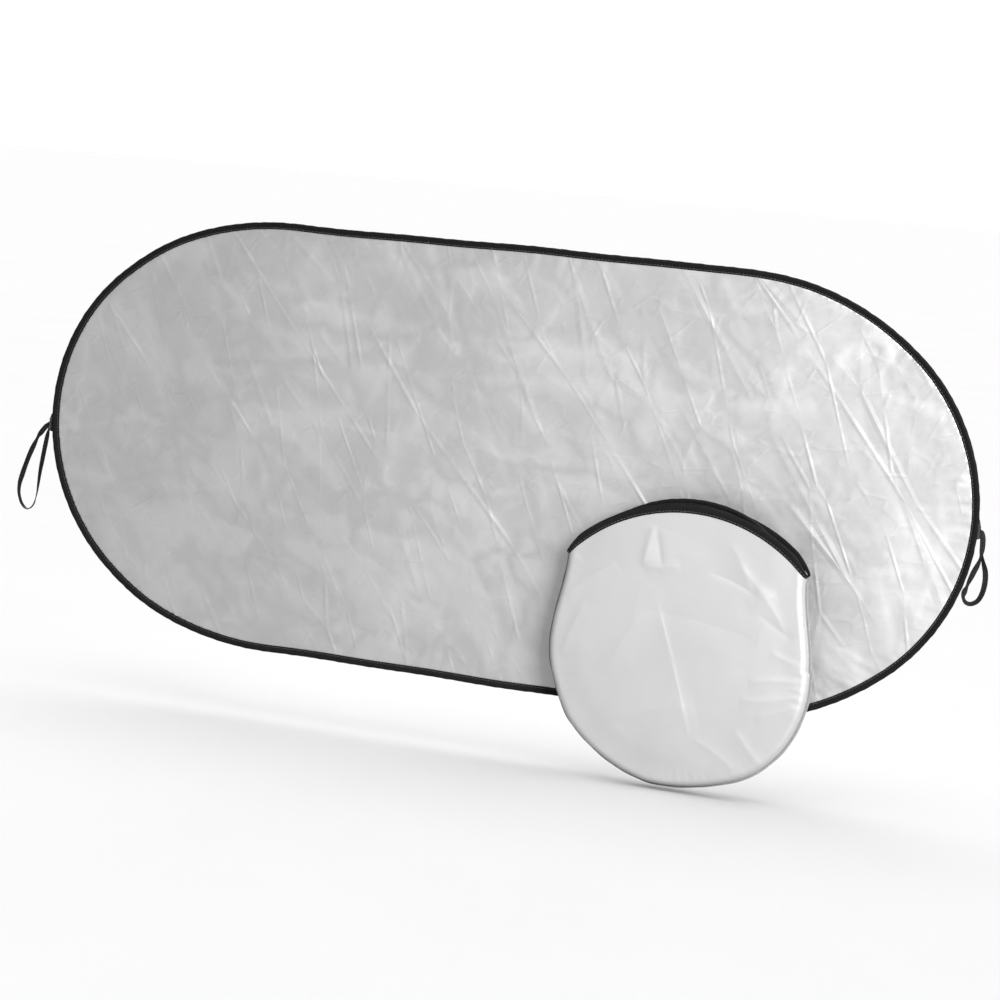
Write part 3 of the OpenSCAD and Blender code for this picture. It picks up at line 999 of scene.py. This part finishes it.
class Shader:
    """A material's node tree, built one node at a time."""

    def __init__(self, name, **constants):
        self.material = bpy.data.materials.new(name)
        self.material.use_nodes = True
        self.tree = self.material.node_tree
        self.surface = self.tree.nodes["Principled BSDF"]
        for socket, value in constants.items():
            self.surface.inputs[socket.replace("_", " ")].default_value = value
        self.uv = self.node("ShaderNodeUVMap", uv_map="cloth").outputs["UV"]

    def node(self, kind, inputs=None, **settings):
        node = self.tree.nodes.new(kind)
        for key, value in settings.items():
            setattr(node, key, value)
        for key, value in (inputs or {}).items():
            if isinstance(value, bpy.types.NodeSocket):
                self.tree.links.new(value, node.inputs[key])
            else:
                node.inputs[key].default_value = value
        return node

    def link(self, output, socket):
        self.tree.links.new(output, self.surface.inputs[socket])

    def noise(self, scale, detail=5.0, roughness=0.55, **settings):
        return self.node("ShaderNodeTexNoise", {
            "Vector": self.uv, "Scale": scale, "Detail": detail, "Roughness": roughness,
        }, **settings).outputs["Fac"]

    def crumple(self, scale, degrees, stretch, crest):
        """Fine creases between the facets of crumpled cloth, drawn out along a direction, in
        patches. The crest is the width of a crease in facets."""
        turned = self.node("ShaderNodeMapping", {
            "Vector": self.uv, "Rotation": (0, 0, -math.radians(degrees)),
        }).outputs["Vector"]
        drawn = self.node("ShaderNodeMapping", {
            "Vector": turned, "Scale": (1 / stretch, 1, 1),
        }).outputs["Vector"]
        edge = self.node("ShaderNodeTexVoronoi", {
            "Vector": drawn, "Scale": scale, "Randomness": 1.0,
        }, feature="DISTANCE_TO_EDGE").outputs["Distance"]
        ridge = self.node("ShaderNodeMapRange", {
            "Value": edge, "From Max": crest, "To Min": 1.0, "To Max": 0.0,
        }).outputs["Result"]
        patch = self.node("ShaderNodeMapRange", {
            "Value": self.noise(scale * 0.6, 3.0), "From Min": 0.42, "From Max": 0.68,
        }).outputs["Result"]
        return self.math("MULTIPLY", ridge, patch)

    def lines(self, scale, direction, distortion=0.0):
        return self.node("ShaderNodeTexWave", {
            "Vector": self.uv, "Scale": scale, "Distortion": distortion,
        }, bands_direction=direction).outputs["Fac"]

    def math(self, operation, a, b=0.0):
        return self.node("ShaderNodeMath", {0: a, 1: b}, operation=operation).outputs[0]

    def fit(self, value, low, high):
        return self.node("ShaderNodeMapRange", {
            "Value": value, "To Min": low, "To Max": high,
        }).outputs["Result"]

    def mix(self, share, a, b):
        node = self.node("ShaderNodeMix", data_type="RGBA")
        self.tree.links.new(share, node.inputs[0])
        node.inputs[6].default_value = (*a, 1)
        node.inputs[7].default_value = (*b, 1)
        return node.outputs[2]

    def bump(self, height, distance, strength=1.0, under=None):
        inputs = {"Height": height, "Distance": distance, "Strength": strength}
        if under is not None:
            inputs["Normal"] = under
        return self.node("ShaderNodeBump", inputs).outputs["Normal"]


def weave(shader, threads_per_metre):
    """Height of a plain weave: two crossed sets of threads."""
    scale = threads_per_metre / 20 * math.pi
    across = shader.lines(scale, "X")
    down = shader.lines(scale, "Y")
    return shader.math("MULTIPLY", across, down)


def silver_cloth_material():
    shader = Shader("silver_cloth", Metallic=0.85, Roughness=0.45, Specular_IOR_Level=0.5)
    blotch = shader.noise(9.0, 6.0)
    fine = shader.noise(140.0, 8.0, 0.6)
    wear = shader.node("ShaderNodeAttribute", attribute_name="wear").outputs["Fac"]
    worn = shader.math("MULTIPLY", wear, 0.35)
    tone = shader.math("ADD", shader.math("MULTIPLY", blotch, 0.8), worn)
    shader.link(shader.mix(tone, grey(0.36), grey(0.47)), "Base Color")
    rough = shader.math("ADD", shader.fit(fine, 0.4, 0.54), shader.math("MULTIPLY", wear, 0.05))
    shader.link(rough, "Roughness")
    normal = shader.bump(shader.crumple(13.0, -52, 6.0, 0.04), 0.5 * MM, 0.9)
    normal = shader.bump(shader.crumple(24.0, -68, 4.0, 0.055), 0.36 * MM, 0.9, normal)
    normal = shader.bump(shader.crumple(46.0, 30, 2.0, 0.09), 0.18 * MM, 0.9, normal)
    normal = shader.bump(weave(shader, 1800), 0.05 * MM, 0.4, normal)
    shader.link(normal, "Normal")
    return shader.material


def pouch_cloth_material():
    shader = Shader("pouch_cloth", Metallic=0.5, Roughness=0.4, Specular_IOR_Level=0.5)
    blotch = shader.noise(12.0, 5.0)
    fine = shader.noise(180.0, 7.0, 0.6)
    shader.link(shader.mix(blotch, grey(0.33), grey(0.39)), "Base Color")
    shader.link(shader.fit(fine, 0.42, 0.54), "Roughness")
    ripple = shader.noise(22.0, 3.0, 0.4)
    normal = shader.bump(ripple, 0.5 * MM, 0.3)
    normal = shader.bump(weave(shader, 2000), 0.04 * MM, 0.5, normal)
    shader.link(normal, "Normal")
    return shader.material


def tape_material(name, dark, light, ribs_per_metre, roughness):
    """Woven tape: fine ribs across its length, and a little lint and wear."""
    shader = Shader(name, Roughness=roughness, Specular_IOR_Level=0.05, Sheen_Weight=0.006,
                    Sheen_Roughness=0.4)
    ribs = shader.lines(ribs_per_metre / 20 * math.pi, "X", 0.4)
    lint = shader.noise(260.0, 6.0, 0.7)
    patch = shader.noise(30.0, 4.0)
    tone = shader.math("MULTIPLY", lint, shader.fit(patch, 0.5, 1.0))
    shader.link(shader.mix(tone, dark, light), "Base Color")
    shader.link(shader.fit(lint, roughness - 0.08, roughness + 0.1), "Roughness")
    normal = shader.bump(ribs, 0.12 * MM, 0.7)
    normal = shader.bump(lint, 0.06 * MM, 0.5, normal)
    shader.link(normal, "Normal")
    return shader.material


def elastic_material():
    """Braided elastic: slanted cords that cross in a fine herringbone."""
    shader = Shader("elastic", Roughness=0.62, Specular_IOR_Level=0.06, Sheen_Weight=0.006,
                    Sheen_Roughness=0.5)
    one = shader.lines(150.0, "DIAGONAL")
    cords = shader.lines(110.0, "Y")
    braid = shader.math("MAXIMUM", one, cords)
    lint = shader.noise(320.0, 5.0, 0.7)
    tone = shader.math("MULTIPLY", braid, lint)
    shader.link(shader.mix(tone, grey(0.004), grey(0.018)), "Base Color")
    shader.link(shader.bump(braid, 0.18 * MM, 0.8), "Normal")
    return shader.material


def thread_material():
    shader = Shader("thread", Roughness=0.5, Specular_IOR_Level=0.4, Sheen_Weight=0.2)
    twist = shader.lines(420.0, "DIAGONAL")
    shader.link(shader.mix(twist, grey(0.012), grey(0.04)), "Base Color")
    shader.link(shader.bump(twist, 0.08 * MM, 0.6), "Normal")
    return shader.material


def steel_material():
    shader = Shader("spring_steel", Metallic=1.0, Roughness=0.32)
    brushed = shader.node("ShaderNodeMapping", {"Vector": shader.uv, "Scale": (6, 900, 1)})
    grain = shader.node("ShaderNodeTexNoise", {
        "Vector": brushed.outputs["Vector"], "Scale": 2.0, "Detail": 6.0,
    }).outputs["Fac"]
    shader.link(shader.mix(grain, (0.36, 0.37, 0.4), (0.52, 0.53, 0.56)), "Base Color")
    shader.link(shader.fit(grain, 0.22, 0.42), "Roughness")
    return shader.material


# ---------- camera, light and floor ----------

LENS = 90
SUN_STRENGTH = 1.38
SUN_ANGLE = math.radians(70)
KEY_SPREAD = math.radians(66)
STUDIO_IN_FRONT = 0.405
STUDIO_BEHIND = 1.02
CAMERA_AZIMUTH = math.radians(17.2)
CAMERA_ELEVATION = math.radians(7.72)
CAMERA_ROLL = math.radians(4.95)
CAMERA_DISTANCE = 2.8235
CAMERA_TARGET = Vector((0.0161, 0.0, -0.0369))


def make_camera():
    """Stands in front of the panel, right of its middle and a little above it, and rolled."""
    level = math.cos(CAMERA_ELEVATION)
    back = Vector((
        math.sin(CAMERA_AZIMUTH) * level, -math.cos(CAMERA_AZIMUTH) * level,
        math.sin(CAMERA_ELEVATION),
    ))
    data = bpy.data.cameras.new("camera")
    data.lens = LENS
    data.clip_start, data.clip_end = 0.05, 200
    camera = bpy.data.objects.new("camera", data)
    bpy.context.scene.collection.objects.link(camera)
    turn = back.to_track_quat("Z", "Y").to_matrix() @ Matrix.Rotation(CAMERA_ROLL, 3, "Z")
    camera.matrix_world = Matrix.Translation(CAMERA_TARGET + back * CAMERA_DISTANCE) @ \
        turn.to_4x4()
    bpy.context.scene.camera = camera


def make_light(name, place, aim, size, power, spread=math.pi):
    data = bpy.data.lights.new(name, "AREA")
    data.shape = "RECTANGLE"
    data.size, data.size_y = size
    data.energy = power
    data.spread = spread
    light = bpy.data.objects.new(name, data)
    light.location = place
    light.rotation_mode = "QUATERNION"
    light.rotation_quaternion = (Vector(aim) - Vector(place)).to_track_quat("-Z", "Y")
    bpy.context.scene.collection.objects.link(light)
    return light


def keep_off(light, piece):
    """Stops a light from shining on one piece."""
    receivers = bpy.data.collections.new(light.name + "_receivers")
    receivers.objects.link(piece)
    receivers.collection_objects[0].light_linking.link_state = "EXCLUDE"
    light.light_linking.receiver_collection = receivers


def make_floor():
    """A plain pale floor just under the pouch."""
    gap_below = 2 * MM
    z = cad_box[0][2] - gap_below
    reach = 60.0
    rings, turns = 24, 64
    angle = full_turn(turns)
    radius = reach * (np.arange(1, rings + 1) / rings) ** 3
    x = (radius[:, None] * np.cos(angle)).ravel()
    y = (radius[:, None] * np.sin(angle)).ravel()
    points = np.stack([x, y, np.full_like(x, z)], -1)
    quads = np.concatenate([grid_quads(rings, turns, close_columns=True), centre_fill(turns)])
    floor = make_piece("floor", points, quads, points[:, :2])
    shader = Shader("floor", Roughness=0.75, Specular_IOR_Level=0.2)
    grain = shader.noise(3.0, 4.0)
    shader.link(shader.mix(grain, grey(0.86), grey(0.9)), "Base Color")
    floor.data.materials.append(shader.material)
    return floor


def make_world():
    """A studio that lights the panel less from in front than from behind, so that its folds
    show. The camera itself sees it white all round."""
    world = bpy.data.worlds.new("studio")
    world.use_nodes = True
    nodes, links = world.node_tree.nodes, world.node_tree.links
    place = nodes.new("ShaderNodeTexCoord")
    split = nodes.new("ShaderNodeSeparateXYZ")
    links.new(place.outputs["Generated"], split.inputs[0])
    ramp = nodes.new("ShaderNodeMapRange")
    ramp.interpolation_type = "SMOOTHSTEP"
    for socket, value in (("From Min", -0.4), ("From Max", 0.6),
                          ("To Min", STUDIO_IN_FRONT), ("To Max", STUDIO_BEHIND)):
        ramp.inputs[socket].default_value = value
    links.new(split.outputs["Y"], ramp.inputs["Value"])
    background = nodes["Background"]
    seen = nodes.new("ShaderNodeLightPath")
    brightest = nodes.new("ShaderNodeMath")
    brightest.operation = "MAXIMUM"
    links.new(ramp.outputs["Result"], brightest.inputs[0])
    links.new(seen.outputs["Is Camera Ray"], brightest.inputs[1])
    links.new(brightest.outputs["Value"], background.inputs["Color"])
    background.inputs["Strength"].default_value = 1.0
    bpy.context.scene.world = world


def make_sun():
    """Soft light from straight above keeps the floor as pale as the studio behind it."""
    data = bpy.data.lights.new("overhead", "SUN")
    data.energy = SUN_STRENGTH
    data.angle = SUN_ANGLE
    light = bpy.data.objects.new("overhead", data)
    bpy.context.scene.collection.objects.link(light)


# ---------- the scene ----------

make_camera()
make_world()
studio_floor = make_floor()
make_sun()
for lamp in (
    make_light("key", (2.1, -2.4, 1.1), (0.55, 0, 0), (1.4, 1.2), 42, KEY_SPREAD),
    make_light("edge", (-1.3, -0.9, 1.7), (-0.2, 0, 0), (0.4, 0.4), 7),
    make_light("back", (-1.6, 2.4, 1.5), (0, 0, 0), (1.2, 1.2), 120),
):
    keep_off(lamp, studio_floor)
bpy.context.scene.view_settings.view_transform = "Standard"

MATERIALS = {
    "silver_cloth": silver_cloth_material(),
    "pouch_cloth": pouch_cloth_material(),
    # The seam's dark grey is painted shade: it draws the shaded edge of the pouch as a dark
    # outline.
    "seam": tape_material("pouch_seam", grey(0.1), grey(0.3), 900, 0.6),
    "binding": tape_material("binding", grey(0.0025), grey(0.011), 1300, 0.6),
    "elastic": elastic_material(),
    "thread": thread_material(),
    "spring_steel": steel_material(),
}

make_reflector_cloth(MATERIALS["silver_cloth"])
make_edge_binding(MATERIALS["binding"])
make_edge_stitching(MATERIALS["thread"])
make_spring_band(MATERIALS["spring_steel"])
make_band_sleeve(MATERIALS["spring_steel"])

make_ribbon("left_loop_elastic", JOINTS["left_loop_swing"]["pos_m"], LEFT_LOOP_KNOTS,
            MATERIALS["elastic"], "left_loop", "left_loop")
make_ribbon("right_loop_elastic", JOINTS["right_loop_swing"]["pos_m"], RIGHT_LOOP_KNOTS,
            MATERIALS["elastic"], "right_loop", "right_loop")
make_tack("left_tack", "left_loop_tack", "left_panel", MATERIALS["elastic"],
          MATERIALS["thread"])
make_tack("right_tack", "right_loop_tack", "right_panel", MATERIALS["elastic"],
          MATERIALS["thread"])

make_pouch_face("pouch_front_cloth", "pouch_front", 1, MATERIALS["pouch_cloth"])
make_pouch_face("pouch_back_cloth", "pouch_back", -1, MATERIALS["pouch_cloth"])
make_pouch_seam(MATERIALS["seam"])
for face, facing in (("front", 1), ("back", -1)):
    make_mouth_binding("mouth_tape_" + face, "mouth_binding_" + face, facing,
                       MATERIALS["binding"])
    make_mouth_stitching("mouth_thread_" + face, "mouth_stitching_" + face, facing,
                         MATERIALS["thread"])

for fold in range(len(LAYERS)):
    make_folded_layer(fold, MATERIALS)
    band = frame["nodes"]["folded_band_" + LAYERS[fold]]
    band.data.materials.clear()
    band.data.materials.append(MATERIALS["spring_steel"])
